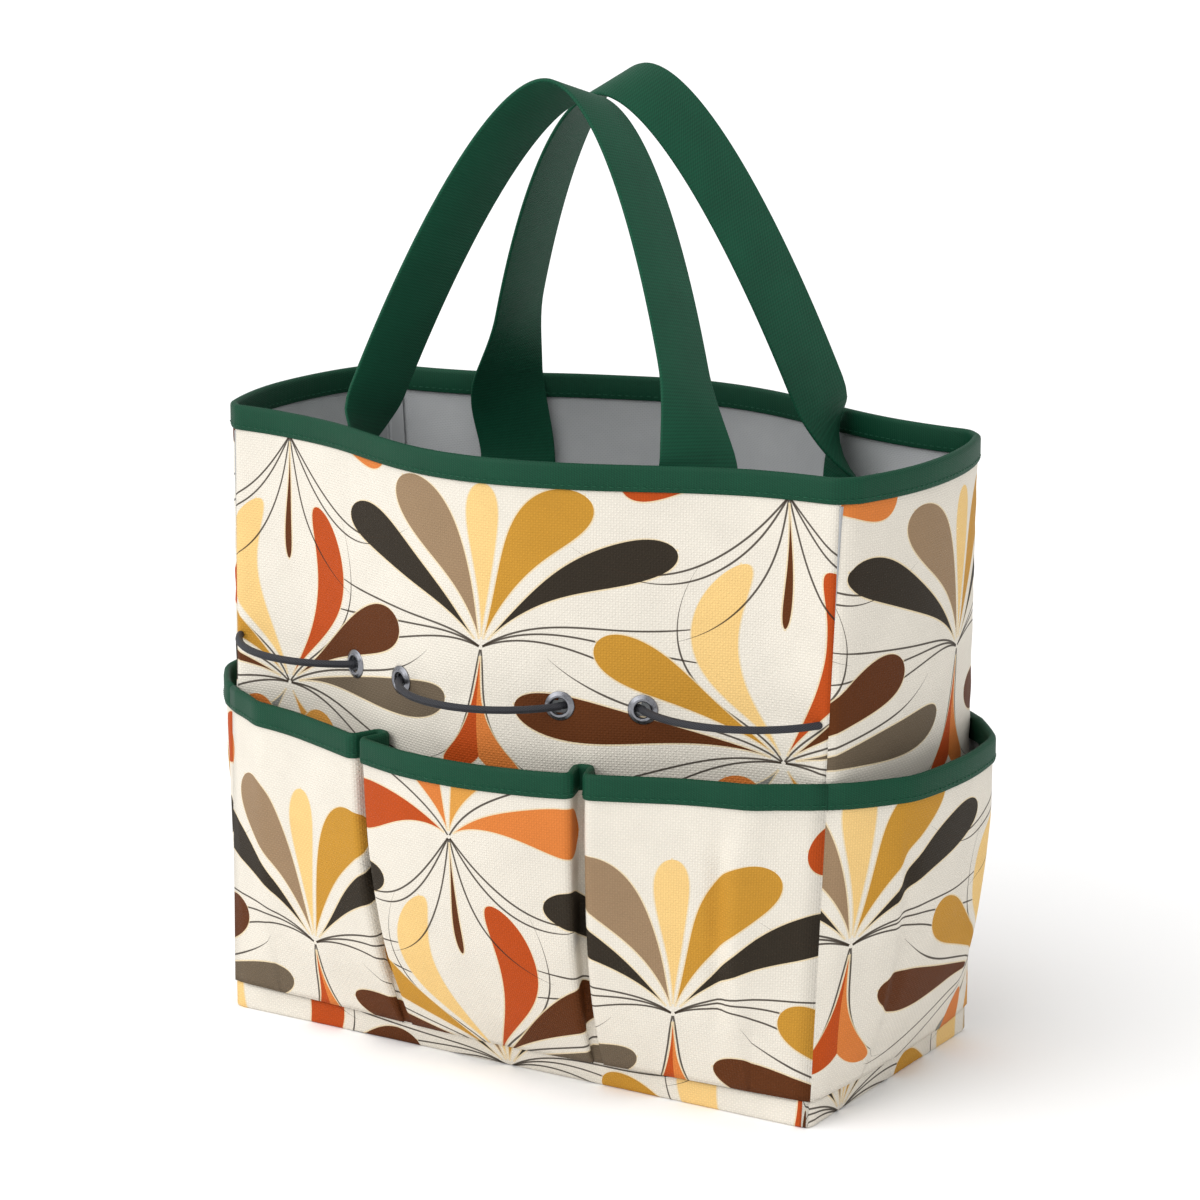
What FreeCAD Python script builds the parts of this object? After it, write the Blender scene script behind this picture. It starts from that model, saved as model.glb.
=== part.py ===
import FreeCAD, Part
import os
from math import atan2, cos, exp, pi, radians, sin

# Garden tool bag, millimetres.  The origin is on the floor under the middle
# of the bag, +Z is up, +X runs along the length and -Y is the front.
# Front and back are alike, and so are the two ends.

# ---- driving dimensions -------------------------------------------------
BODY_HEIGHT = 300.0        # floor to the top of the rim
BASE_LENGTH = 320.0        # corner to corner at the floor
BASE_WIDTH = 156.0
RIM_LENGTH = 336.0         # corner to corner at the rim
RIM_WIDTH = 132.0
FRONT_BULGE = 44.0         # how far front and back bow out at mid length
FRONT_BULGE_POWER = 3.0    # higher values keep the bow nearer the middle
END_BULGE = 15.0
SWELL_HEIGHT = 72.0        # height in which the bow has mostly developed

CLOTH = 1.6                # stiffened canvas panel
TAPE = 1.2                 # folded binding tape, one layer
GAP = 0.2                  # kept between pieces that are sewn together
SEAM_TAPE = 0.6
SEAM_TAPE_WIDTH = 9.0

BAND_HEIGHT = 13.0         # bottom panel turned up round the foot
BINDING_HEIGHT = 12.0
POCKET_TOP = 162.0
POCKET_DEPTH = 15.5        # stand-off of a pocket's face from the wall
POCKET_SEAM_OFFSET = 2.6   # mid-line of pocket cloth where it meets the wall
SEAM_FULLNESS = 0.14       # share of the depth that is left at the bottom seam
PLEAT_GAP = 3.6            # half the distance between two gussets
PLEAT_RADIUS = 3.2
LONG_RUN_STEPS = 8         # points that shape a pocket's face or shoulder
ARC_STEPS = 4
SHOULDER_LENGTH = 29.0     # a corner pocket's sloping side, on the long walls
END_SHOULDER_LENGTH = 34.0
SHOULDER_RADIUS = 22.0

BOARD_THICKNESS = 2.5
BOARD_CLEARANCE = 2.4      # board and lining stop short of the walls
LINING = 0.8

CORD_HEIGHT = 188.0
CORD_RADIUS = 1.8
EYELET_INNER_X = 43.5
EYELET_OUTER_X = 79.0
EYELET_RADIUS = 7.0
EYELET_HOLE_RADIUS = 3.7
EYELET_METAL = 0.7
EYELET_BARREL_RADIUS = 4.4
CENTRE_LOOP_BOW = 26.0     # sagitta of the loops over their chords
CORNER_LOOP_BOW = 19.0

STRAP_WIDTH = 38.0
STRAP_THICKNESS = 2.0
STRAP_CLEARANCE = 1.0      # behind the binding, because the wall curves across the strap
TAIL_X = 96.0              # centre of a sewn tail
TAIL_LENGTH = 90.0         # from the rim down
SEAM_TOP = 256.0           # the webbing is sewn to the wall below this level
SPLIT_HEIGHT = 302.0       # the handle that swings starts here
SPLIT_GAP = 0.4
ARCH_FOOT_X = 92.0
ARCH_FOOT_Y = {-1: -57.0, 1: -64.0}  # of the left and right leg; the handle stands turned
ARCH_TOP = 457.0
ARCH_TOP_Y = -24.0
ARCH_TURN = 82.0           # degrees from X to the way across the arch, seen from above
ARCH_LEAN = 17.0           # degrees that the arch leans back
TURN_LENGTH = {-1: 56.0, 1: 84.0}  # height over which the left and right leg turn


def vector(x, y, z):
    return FreeCAD.Vector(x, y, z)


# ---- the shape of the bag ----------------------------------------------
def half_length(z):
    return (BASE_LENGTH + (RIM_LENGTH - BASE_LENGTH) * z / BODY_HEIGHT) / 2


def half_width(z):
    return (BASE_WIDTH + (RIM_WIDTH - BASE_WIDTH) * z / BODY_HEIGHT) / 2


def swell(z):
    return 1 - exp(-z / SWELL_HEIGHT)


def wall_point(side, s, z, offset):
    """Point of one wall: s runs -1..1 anticlockwise seen from above, offset is outwards."""
    if side in ("front", "back"):
        bow = FRONT_BULGE * swell(z) * (1 - s * s) ** FRONT_BULGE_POWER
        x = s * (half_length(z) + offset)
        y = -(half_width(z) + offset + bow)
    else:
        x = half_length(z) + offset + END_BULGE * swell(z) * (1 - s * s)
        y = s * (half_width(z) + offset)
    if side in ("back", "left"):
        x, y = -x, -y
    return vector(x, y, z)


def wall_normal(side, s, z):
    """Level outward normal of a wall."""
    step = 0.001
    along = wall_point(side, s + step, z, 0) - wall_point(side, s - step, z, 0)
    return vector(along.y, -along.x, 0).normalize()


def half_span(side, z):
    return half_length(z) if side in ("front", "back") else half_width(z)


# ---- building closed solids from rails ---------------------------------
def shares(points):
    """Share of the path's length at each of its points."""
    travelled = [0.0]
    for a, b in zip(points, points[1:]):
        travelled.append(travelled[-1] + a.distanceToPoint(b))
    return [length / travelled[-1] for length in travelled]


def curve_edge(points, parameters=None):
    """Smooth edge through points; edges with the same parameters join evenly."""
    curve = Part.BSplineCurve()
    curve.interpolate(Points=points, Parameters=parameters or shares(points))
    return curve.toShape()


def solid_of(faces, name):
    shell = Part.Shell(faces)
    shell.sewShape()
    solid = Part.Solid(shell)
    if solid.Volume < 0:
        solid.reverse()
    if not solid.isValid():
        raise ValueError(name + " is not a valid solid")
    return solid


def solid_along(rails, closed, name):
    """Solid whose section corners run along rails; each rail is a list of runs of points.

    Every run becomes one smooth edge, and its parameters are the same on all rails, so
    that the edges stay in step.  A closed rail comes round to its start; others get caps."""
    parameters = [shares(points) for points in rails[0]]
    edges = [[curve_edge(points, given) for points, given in zip(rail, parameters)]
             for rail in rails]
    faces = []
    for here, after in zip(edges, edges[1:] + edges[:1]):
        faces += [Part.makeRuledSurface(a, b) for a, b in zip(here, after)]
    if not closed:
        for end in (0, -1):
            corners = [rail[end][end] for rail in rails]
            faces.append(Part.Face(Part.makePolygon(corners + corners[:1])))
    return solid_of(faces, name)


def levels(low, high, count):
    return [low + (high - low) * i / count for i in range(count + 1)]


SIDES = ("front", "right", "back", "left")


def wall_rail(side, offset, z, margin=0.0, count=24):
    """Points along one wall; margin draws both ends back from the corner seam."""
    points = [wall_point(side, -1 + 2 * i / count, z, offset) for i in range(count + 1)]
    corner = wall_normal(side, 0, z)
    along = vector(-corner.y, corner.x, 0)
    points[0] += along * margin
    points[-1] -= along * margin
    return points


def ring(section, name):
    """Closed band round the bag; section lists (offset, height) corners."""
    rails = [[wall_rail(side, offset, z) for side in SIDES] for offset, z in section]
    return solid_along(rails, True, name)


def plate(offset, low, high, name):
    """Flat sheet that fills the bag's outline between two heights."""
    outlines = []
    walls = []
    for z in (low, high):
        points = [wall_rail(side, offset, low) for side in SIDES]
        lifted = [[vector(p.x, p.y, z) for p in side] for side in points]
        outlines.append([curve_edge(side) for side in lifted])
    for below, above in zip(*outlines):
        walls.append(Part.makeRuledSurface(below, above))
    ends = [Part.Face(Part.Wire(outline)) for outline in outlines]
    return solid_of(walls + ends, name)


# ---- walls and bottom ---------------------------------------------------
PANEL_BOTTOM = CLOTH + GAP
PANEL_TOP = BODY_HEIGHT - TAPE - GAP
BAND_OFFSET = GAP + CLOTH


def wall_panel(side):
    heights = levels(PANEL_BOTTOM, BAND_HEIGHT, 2)[:-1] + levels(BAND_HEIGHT, PANEL_TOP, 9)
    outer = [(0.0, z) for z in heights]
    inner = [(-CLOTH, z) for z in reversed(heights)]
    rails = [[wall_rail(side, offset, z, margin=GAP)] for offset, z in outer + inner]
    panel = solid_along(rails, False, side + "_panel")
    if side in ("front", "back"):
        for x in EYELET_POSITIONS:
            panel = panel.cut(eyelet_cylinder(side, x, EYELET_BARREL_RADIUS + GAP, -10, 10))
    return panel


def bottom_panel():
    """Bottom cloth: a flat floor whose edge is turned up outside the walls."""
    outline = [curve_edge(wall_rail(side, BAND_OFFSET, 0)) for side in SIDES]
    inside = [curve_edge(wall_rail(side, GAP, CLOTH)) for side in SIDES]
    outer_top = [curve_edge(wall_rail(side, BAND_OFFSET, BAND_HEIGHT)) for side in SIDES]
    inner_top = [curve_edge(wall_rail(side, GAP, BAND_HEIGHT)) for side in SIDES]
    faces = [Part.Face(Part.Wire(outline)), Part.Face(Part.Wire(inside))]
    for low, high in ((outline, outer_top), (outer_top, inner_top), (inner_top, inside)):
        faces += [Part.makeRuledSurface(a, b) for a, b in zip(low, high)]
    return solid_of(faces, "bottom_panel")


BOARD_BOTTOM = PANEL_BOTTOM + GAP
BOARD_TOP = BOARD_BOTTOM + BOARD_THICKNESS
LINING_TOP = BOARD_TOP + GAP + LINING


def base_board():
    return plate(-CLOTH - BOARD_CLEARANCE, BOARD_BOTTOM, BOARD_TOP, "base_board")


def bottom_lining():
    return plate(-CLOTH - BOARD_CLEARANCE, BOARD_TOP + GAP, LINING_TOP, "bottom_lining")


def rim_binding():
    foot = BODY_HEIGHT - BINDING_HEIGHT
    outside = GAP + TAPE
    inside = -CLOTH - GAP - TAPE
    section = [(outside, foot), (outside, BODY_HEIGHT), (inside, BODY_HEIGHT), (inside, foot),
               (inside + TAPE, foot), (inside + TAPE, BODY_HEIGHT - TAPE),
               (GAP, BODY_HEIGHT - TAPE), (GAP, foot)]
    return ring(section, "rim_binding")


def bottom_seam_tape():
    face = -CLOTH - 2 * GAP
    low = LINING_TOP + 1
    high = low + SEAM_TAPE_WIDTH
    section = [(face, low), (face, high), (face - SEAM_TAPE, high), (face - SEAM_TAPE, low)]
    return ring(section, "bottom_seam_tape")


def corner_seam_tape(side, other):
    """Angle tape inside the corner between one wall's end and the next wall's start."""
    face = -CLOTH - GAP
    back = face - SEAM_TAPE
    heights = levels(LINING_TOP + SEAM_TAPE_WIDTH + 2, BODY_HEIGHT - BINDING_HEIGHT - 1, 8)
    sections = []
    for z in heights:
        s = 1 - SEAM_TAPE_WIDTH / half_span(side, z)
        t = 1 - SEAM_TAPE_WIDTH / half_span(other, z)
        sections.append([wall_point(side, s, z, face), wall_point(side, 1, z, face),
                         wall_point(other, -t, z, face), wall_point(other, -t, z, back),
                         wall_point(side, 1, z, back), wall_point(side, s, z, back)])
    faces = []
    for low, high in zip(sections, sections[1:]):
        for i in range(len(low)):
            j = (i + 1) % len(low)
            faces.append(Part.makeRuledSurface(Part.makeLine(low[i], low[j]),
                                               Part.makeLine(high[i], high[j])))
    for end in (sections[0], sections[-1]):
        faces.append(Part.Face(Part.makePolygon(end + end[:1])))
    return solid_of(faces, "corner_tape_" + side + "_" + other)


# ---- pockets ------------------------------------------------------------
def rounded(points, radii):
    """Polyline with arcs at its corners, as runs of points: line, arc, line, and so on.

    The number of points in a run doesn't depend on the radii, so runs at different
    heights match each other."""
    runs = []
    start = points[0]

    def add_line(target, plain_length):
        steps = LONG_RUN_STEPS if plain_length > 3 * PLEAT_GAP else 1
        runs.append([(start[0] + (target[0] - start[0]) * i / steps,
                      start[1] + (target[1] - start[1]) * i / steps) for i in range(steps + 1)])

    for before, corner, after, radius in zip(points, points[1:], points[2:], radii):
        come = atan2(corner[1] - before[1], corner[0] - before[0])
        leave = atan2(after[1] - corner[1], after[0] - corner[0])
        turn = (leave - come + pi) % (2 * pi) - pi
        cut = radius * abs(sin(turn / 2) / cos(turn / 2))
        first = (corner[0] - cut * cos(come), corner[1] - cut * sin(come))
        add_line(first, abs(corner[0] - before[0]))
        handed = 1 if turn > 0 else -1
        centre = (first[0] - handed * radius * sin(come), first[1] + handed * radius * cos(come))
        arc = [first]
        for i in range(1, ARC_STEPS + 1):
            angle = come + turn * i / ARC_STEPS
            arc.append((centre[0] + handed * radius * sin(angle),
                        centre[1] - handed * radius * cos(angle)))
        runs.append(arc)
        start = arc[-1]
    add_line(points[-1], abs(points[-1][0] - points[-2][0]))
    return runs


def pocket_plan(side, z):
    """Pocket cloth seen from above and unrolled: (distance along the wall, stand-off)."""
    long_wall = side in ("front", "back")
    span = half_span(side, z)
    shoulder = SHOULDER_LENGTH if long_wall else END_SHOULDER_LENGTH
    depth = POCKET_DEPTH * pocket_fullness(z)
    bend = min(PLEAT_RADIUS, depth * 0.48)
    points = [(-span, 0), (-span + shoulder, depth)]
    radii = [SHOULDER_RADIUS]
    if long_wall:
        for pleat in (-span / 3, span / 3):
            points += [(pleat - PLEAT_GAP, depth), (pleat - PLEAT_GAP, 0),
                       (pleat + PLEAT_GAP, 0), (pleat + PLEAT_GAP, depth)]
            radii += [bend] * 4
    points += [(span - shoulder, depth), (span, 0)]
    radii += [SHOULDER_RADIUS]
    return rounded(points, radii)


def pocket_fullness(z):
    """Share of the full depth: nearly all of it, falling to a slight fold at the bottom seam."""
    drop = (POCKET_TOP - z) / (POCKET_TOP - BAND_HEIGHT)
    return 1 - (1 - SEAM_FULLNESS) * min(1, max(0, drop)) ** 3


def pocket_rail(side, offset, z):
    """Runs of points along the pocket cloth at one height, offset outwards from its mid-line."""
    runs = pocket_plan(side, z)
    plan = runs[0][:1] + [point for run in runs for point in run[1:]]
    span = half_span(side, z)
    middle = []
    for along, out in plan:
        s = along / span
        stand_off = POCKET_SEAM_OFFSET + out
        middle.append(wall_point(side, s, z, 0) + wall_normal(side, s, z) * stand_off)
    points = []
    for before, point, after in zip(middle[:1] + middle, middle, middle[1:] + middle[-1:]):
        chord = after - before
        points.append(point + vector(chord.y, -chord.x, 0).normalize() * offset)
    flush_ends(points, middle, side, z, offset)
    rail = []
    first = 0
    for run in runs:
        last = first + len(run) - 1
        rail.append(points[first:last + 1])
        first = last
    return rail


def flush_ends(points, middle, side, z, offset):
    """Put both ends of a pocket rail on the plane of the corner seam, square to the wall."""
    outward = wall_normal(side, 0, z)
    along = vector(-outward.y, outward.x, 0)
    reach = half_span(side, z) - GAP
    for end, sign in ((0, -1), (-1, 1)):
        point = middle[end] + outward * offset
        points[end] = point + along * (sign * reach - point.dot(along))


def pocket_solid(side, section, name):
    return solid_along([pocket_rail(side, offset, z) for offset, z in section], False, name)


def pocket_panel(side):
    half = CLOTH / 2
    heights = levels(BAND_HEIGHT + GAP, POCKET_TOP - TAPE - GAP, 8)
    section = [(half, z) for z in heights] + [(-half, z) for z in reversed(heights)]
    return pocket_solid(side, section, side + "_pocket_panel")


def pocket_binding(side):
    foot = POCKET_TOP - BINDING_HEIGHT
    near = CLOTH / 2 + GAP
    far = near + TAPE
    section = [(far, foot), (far, POCKET_TOP), (-far, POCKET_TOP), (-far, foot),
               (-near, foot), (-near, POCKET_TOP - TAPE), (near, POCKET_TOP - TAPE), (near, foot)]
    return pocket_solid(side, section, side + "_pocket_binding")


# ---- eyelets and elastic cord ------------------------------------------
EYELET_POSITIONS = (-EYELET_OUTER_X, -EYELET_INNER_X, EYELET_INNER_X, EYELET_OUTER_X)


def eyelet_axis(side, x):
    """Centre on the wall's outer face, and the outward normal; x counts along the wall."""
    s = x / half_length(CORD_HEIGHT)
    return wall_point(side, s, CORD_HEIGHT, 0), wall_normal(side, s, CORD_HEIGHT)


def eyelet_cylinder(side, x, radius, start, end):
    centre, normal = eyelet_axis(side, x)
    return Part.makeCylinder(radius, end - start, centre + normal * start, normal)


def eyelet(side, x):
    """Outer flange with a barrel that goes through the wall and the washer."""
    flange = eyelet_cylinder(side, x, EYELET_RADIUS, GAP * 2, GAP * 2 + EYELET_METAL)
    barrel = eyelet_cylinder(side, x, EYELET_BARREL_RADIUS, -CLOTH - 2 * GAP - EYELET_METAL, GAP * 2)
    hole = eyelet_cylinder(side, x, EYELET_HOLE_RADIUS, -10, 10)
    return flange.fuse(barrel).cut(hole).removeSplitter()


def eyelet_washer(side, x):
    back = -CLOTH - 2 * GAP
    ring_solid = eyelet_cylinder(side, x, EYELET_RADIUS, back - EYELET_METAL, back)
    bore = eyelet_cylinder(side, x, EYELET_BARREL_RADIUS + 0.05, -10, 10)
    return ring_solid.cut(bore)


def tube(points, radius):
    """Round tube along an arc through three points, with rounded ends."""
    start, middle, end = points
    arc = Part.Arc(start, middle, end).toShape()
    axis = arc.tangentAt(arc.FirstParameter)
    profile = Part.Wire(Part.makeCircle(radius, start, axis))
    pipe = Part.Wire(arc).makePipeShell([profile], True, True)
    for centre in (start, end):
        pipe = pipe.fuse(Part.makeSphere(radius, centre))
    return pipe.removeSplitter()


def loop_ends(side, place):
    """Where an elastic loop leaves the cloth, at its two ends."""
    lift = GAP * 2 + EYELET_METAL
    if place == "centre":
        exits = []
        for x in (-EYELET_INNER_X, EYELET_INNER_X):
            centre, normal = eyelet_axis(side, x)
            exits.append(centre + normal * lift)
        return exits
    sign = -1 if place == "left" else 1
    centre, normal = eyelet_axis(side, sign * EYELET_OUTER_X)
    corner_s = sign * (1 - 3 * CORD_RADIUS / half_length(CORD_HEIGHT))
    seam = wall_point(side, corner_s, CORD_HEIGHT, CORD_RADIUS + GAP * 2)
    return [seam, centre + normal * lift]


def elastic_loop(side, place):
    start, end = loop_ends(side, place)
    bow = CENTRE_LOOP_BOW if place == "centre" else CORNER_LOOP_BOW
    chord = end - start
    outward = vector(chord.y, -chord.x, 0).normalize()
    if outward.dot(wall_normal(side, 0, CORD_HEIGHT)) < 0:
        outward = outward * -1
    middle = (start + end) * 0.5 + outward * bow
    return tube((start, middle, end), CORD_RADIUS)


def inner_run(side, sign):
    """Cord behind the wall between two eyelets, bent so that it stays on the cloth."""
    depth = CLOTH + GAP * 3 + EYELET_METAL + CORD_RADIUS
    points = []
    for x in (EYELET_INNER_X, (EYELET_INNER_X + EYELET_OUTER_X) / 2, EYELET_OUTER_X):
        centre, normal = eyelet_axis(side, sign * x)
        points.append(centre - normal * depth)
    return tube(points, CORD_RADIUS)


# ---- handles ------------------------------------------------------------
def leg_shift():
    """Depth of the webbing's mid-plane behind the wall's outer face, inside the binding."""
    return CLOTH + GAP + TAPE + STRAP_CLEARANCE + STRAP_THICKNESS / 2


def leg_point(z, sign):
    s = sign * TAIL_X / half_length(z)
    return wall_point("front", s, z, 0) - wall_normal("front", s, z) * leg_shift()


def arch_point(t, sign):
    """Half of the arch as a cubic curve from a leg at the rim, t=0, to the top, t=1."""
    xs = (ARCH_FOOT_X, 0.67 * ARCH_FOOT_X, 0.28 * ARCH_FOOT_X, 0.0)
    ups = (0.0, 0.6, 1.0, 1.0)
    weights = ((1 - t) ** 3, 3 * (1 - t) ** 2 * t, 3 * (1 - t) * t * t, t ** 3)
    x = sum(w * a for w, a in zip(weights, xs))
    up = sum(w * a for w, a in zip(weights, ups))
    foot = ARCH_FOOT_Y[sign]
    return vector(sign * x, foot + (ARCH_TOP_Y - foot) * up,
                  SPLIT_HEIGHT + (ARCH_TOP - SPLIT_HEIGHT) * up)


def free_leg_point(share, sign):
    """Centre of the webbing between its seam, share 0, and the split, share 1."""
    lift = SPLIT_HEIGHT - SEAM_TOP
    foot = leg_point(SEAM_TOP, sign)
    top = arch_point(0, sign)
    into_arch = arch_point(0.001, sign) - top
    into_arch = into_arch * (lift / into_arch.z)
    along_wall = leg_point(SEAM_TOP, sign) - leg_point(SEAM_TOP - 1, sign)
    along_wall = along_wall * (lift / along_wall.z)
    square, cube = share * share, share ** 3
    return (foot * (2 * cube - 3 * square + 1) + along_wall * (cube - 2 * square + share)
            + top * (3 * square - 2 * cube) + into_arch * (cube - square))


def strap_direction(z, sign):
    """Way across the webbing: along the wall at the seam, and across the arch above the rim."""
    normal = wall_normal("front", sign * TAIL_X / half_length(SEAM_TOP), SEAM_TOP)
    start = atan2(normal.x, -normal.y)
    if sign < 0:
        start += pi
    share = min(1.0, max(0.0, (z - SEAM_TOP) / TURN_LENGTH[sign]))
    share = share * share * (3 - 2 * share)
    turn = start + (radians(ARCH_TURN) - start) * share
    lean = radians(ARCH_LEAN) * share
    return vector(cos(turn) * cos(lean), sin(turn) * cos(lean), -sin(lean))


def strap_section(centre, across, along):
    """Four corners of the webbing's cross-section, square to its run."""
    along = along.normalize()
    across = (across - along * across.dot(along)).normalize()
    through = across.cross(along) * (STRAP_THICKNESS / 2)
    across = across * (STRAP_WIDTH / 2)
    return [centre - across - through, centre + across - through,
            centre + across + through, centre - across + through]


def strap_solid(sections, name):
    rails = [[[section[i] for section in sections]] for i in range(4)]
    return solid_along(rails, False, name)


def front_handle():
    """Webbing arch that leans back, from the split at one leg to the split at the other."""
    count = 22
    step = 0.001
    sections = []
    for i in range(2 * count + 1):
        t = i / count if i <= count else 2 - i / count
        sign = -1 if i <= count else 1
        centre = arch_point(t, sign)
        along = arch_point(min(1, t + step), sign) - arch_point(max(0, t - step), sign)
        along = along * -sign if t < 1 else vector(1, 0, 0)
        across = strap_direction(centre.z, sign)
        if t == 0:
            centre.z += SPLIT_GAP / 2
        sections.append(strap_section(centre, across, along))
    return strap_solid(sections, "front_handle")


def front_handle_tail(sign):
    """Webbing sewn inside the wall; above its seam it leaves the wall and turns to the arch."""
    sections = []
    for z in levels(BODY_HEIGHT - TAIL_LENGTH, SEAM_TOP - 6, 4):
        along = leg_point(z + 1, sign) - leg_point(z - 1, sign)
        sections.append(strap_section(leg_point(z, sign), strap_direction(z, sign), along))
    count = 12
    for i in range(count + 1):
        share = i / count
        centre = free_leg_point(share, sign)
        along = free_leg_point(min(1, share + 0.01), sign) - free_leg_point(max(0, share - 0.01), sign)
        across = strap_direction(centre.z, sign)
        if i == count:
            centre.z -= SPLIT_GAP / 2
        sections.append(strap_section(centre, across, along))
    return strap_solid(sections, "front_handle_tails")


# ---- writing the parts ---------------------------------------------------
def turned_round(shape):
    """The same piece on the other side of the bag."""
    copy = shape.copy()
    copy.rotate(vector(0, 0, 0), vector(0, 0, 1), 180)
    return copy


def all_parts():
    parts = {}
    parts["front_panel"] = wall_panel("front")
    parts["back_panel"] = wall_panel("back")
    parts["left_side_panel"] = wall_panel("left")
    parts["right_side_panel"] = wall_panel("right")
    parts["bottom_panel"] = bottom_panel()
    parts["base_board"] = base_board()
    parts["bottom_lining"] = bottom_lining()
    parts["rim_binding"] = rim_binding()
    parts["bottom_seam_tape"] = bottom_seam_tape()
    for side, other in zip(SIDES, SIDES[1:] + SIDES[:1]):
        parts["corner_tape_" + side + "_" + other] = corner_seam_tape(side, other)
    for side in SIDES:
        parts[side + "_pocket_panel"] = pocket_panel(side)
        parts[side + "_pocket_binding"] = pocket_binding(side)
    for side in ("front", "back"):
        eyelets = [eyelet(side, x) for x in EYELET_POSITIONS]
        washers = [eyelet_washer(side, x) for x in EYELET_POSITIONS]
        parts[side + "_eyelets"] = Part.makeCompound(eyelets)
        parts[side + "_eyelet_washers"] = Part.makeCompound(washers)
        runs = [inner_run(side, sign) for sign in (-1, 1)]
        parts[side + "_cord_inner_runs"] = Part.makeCompound(runs)
        for place in ("left", "centre", "right"):
            parts[side + "_loop_" + place] = elastic_loop(side, place)
    tails = Part.makeCompound([front_handle_tail(sign) for sign in (-1, 1)])
    handle = front_handle()
    parts["front_handle"] = handle
    parts["back_handle"] = turned_round(handle)
    parts["front_handle_tails"] = tails
    parts["back_handle_tails"] = turned_round(tails)
    return parts


os.makedirs("parts", exist_ok=True)
for node, shape in all_parts().items():
    shape.exportStep("parts/" + node + ".step")
    box = shape.BoundBox
    print(node, len(shape.Solids), shape.isValid(), round(shape.Volume), len(shape.Faces),
          [round(v, 1) for v in (box.XMin, box.XMax, box.YMin, box.YMax, box.ZMin, box.ZMax)])
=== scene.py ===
import math

import bpy
from mathutils import Matrix, Vector, noise


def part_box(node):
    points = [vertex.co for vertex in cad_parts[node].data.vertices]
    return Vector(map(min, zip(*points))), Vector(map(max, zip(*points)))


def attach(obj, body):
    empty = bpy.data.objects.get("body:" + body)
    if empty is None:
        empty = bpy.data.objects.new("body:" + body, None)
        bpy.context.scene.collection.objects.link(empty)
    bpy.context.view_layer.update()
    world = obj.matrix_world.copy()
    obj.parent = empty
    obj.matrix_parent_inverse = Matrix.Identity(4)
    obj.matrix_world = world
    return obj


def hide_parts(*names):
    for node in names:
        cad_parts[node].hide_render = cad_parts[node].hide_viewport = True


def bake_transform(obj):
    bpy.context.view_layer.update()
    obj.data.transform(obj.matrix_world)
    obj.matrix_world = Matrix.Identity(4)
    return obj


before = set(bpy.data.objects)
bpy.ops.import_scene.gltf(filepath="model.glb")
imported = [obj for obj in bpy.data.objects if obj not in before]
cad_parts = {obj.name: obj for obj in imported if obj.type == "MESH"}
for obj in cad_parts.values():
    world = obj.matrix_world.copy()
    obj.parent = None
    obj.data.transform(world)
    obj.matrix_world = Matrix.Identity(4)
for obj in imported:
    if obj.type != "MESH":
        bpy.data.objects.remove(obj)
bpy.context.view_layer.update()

# Garden tool bag, metres.  The frame gives the levels; the wall's shape is the CAD's formula.
# ---- driving dimensions -------------------------------------------------
BODY_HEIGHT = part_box("rim_binding")[1][2]
BINDING_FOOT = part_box("rim_binding")[0][2]
POCKET_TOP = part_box("front_pocket_binding")[1][2]
POCKET_BINDING_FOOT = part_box("front_pocket_binding")[0][2]
BAND_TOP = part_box("bottom_panel")[1][2]
TAIL_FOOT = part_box("front_handle_tails")[0][2]
LINING_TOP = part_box("bottom_lining")[1][2]

BASE_HALF_LENGTH = 0.160
RIM_HALF_LENGTH = 0.168
BASE_HALF_WIDTH = 0.078
RIM_HALF_WIDTH = 0.066
FRONT_BULGE = 0.044
FRONT_BULGE_POWER = 3.0
END_BULGE = 0.015
SWELL_HEIGHT = 0.072
FLOOR_CORNER_RADIUS = 0.0015   # of the upright seams: crisp below, softer at the rim
RIM_CORNER_RADIUS = 0.0075

CANVAS = 0.0013
TAPE = 0.0011
GRID = 0.003                   # spacing of the cloth's mesh

POCKET_DEPTH = 0.0155
POCKET_SEAM_OFFSET = 0.0022
SEAM_FULLNESS = 0.10
PLEAT_GAP = 0.0034
PLEAT_RADIUS = 0.0028
SHOULDER_LENGTH = 0.029
END_SHOULDER_LENGTH = 0.034
SHOULDER_RADIUS = 0.022

CORD_HEIGHT = 0.188
CORD_RADIUS = 0.0018
EYELET_X = (-0.079, -0.0435, 0.0435, 0.079)
EYELET_RADIUS = 0.007
EYELET_HOLE = 0.0037
CENTRE_LOOP_BOW = 0.026
CORNER_LOOP_BOW = 0.019

STRAP_WIDTH = 0.038
STRAP_THICKNESS = 0.0018
TAIL_X = 0.096                 # centre of a sewn tail
SEAM_TOP = 0.256               # the webbing is sewn to the wall below this level
SPLIT_HEIGHT = 0.302
ARCH_FOOT_X = 0.092
ARCH_FOOT_Y = {-1: -0.057, 1: -0.064}
ARCH_TOP = 0.457
ARCH_TOP_Y = -0.024
ARCH_TURN = math.radians(82)   # from X to the way across the arch, seen from above
ARCH_LEAN = math.radians(17)
TURN_LENGTH = {-1: 0.056, 1: 0.084}

SIDES = ("front", "right", "back", "left")
PRINT_UNIT = 0.1               # metres of cloth to one unit of the print's UV map
UV_NAME = "cloth"


# ---- the shape of the walls ----------------------------------------------
def mix(a, b, share):
    return a + (b - a) * share


def smooth(share):
    share = min(1.0, max(0.0, share))
    return share * share * (3 - 2 * share)


def is_long(side):
    return side in ("front", "back")


def half_span(side, z):
    share = z / BODY_HEIGHT
    if is_long(side):
        return mix(BASE_HALF_LENGTH, RIM_HALF_LENGTH, share)
    return mix(BASE_HALF_WIDTH, RIM_HALF_WIDTH, share)


def half_depth(side, z):
    return half_span("left" if is_long(side) else "front", z)


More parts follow.
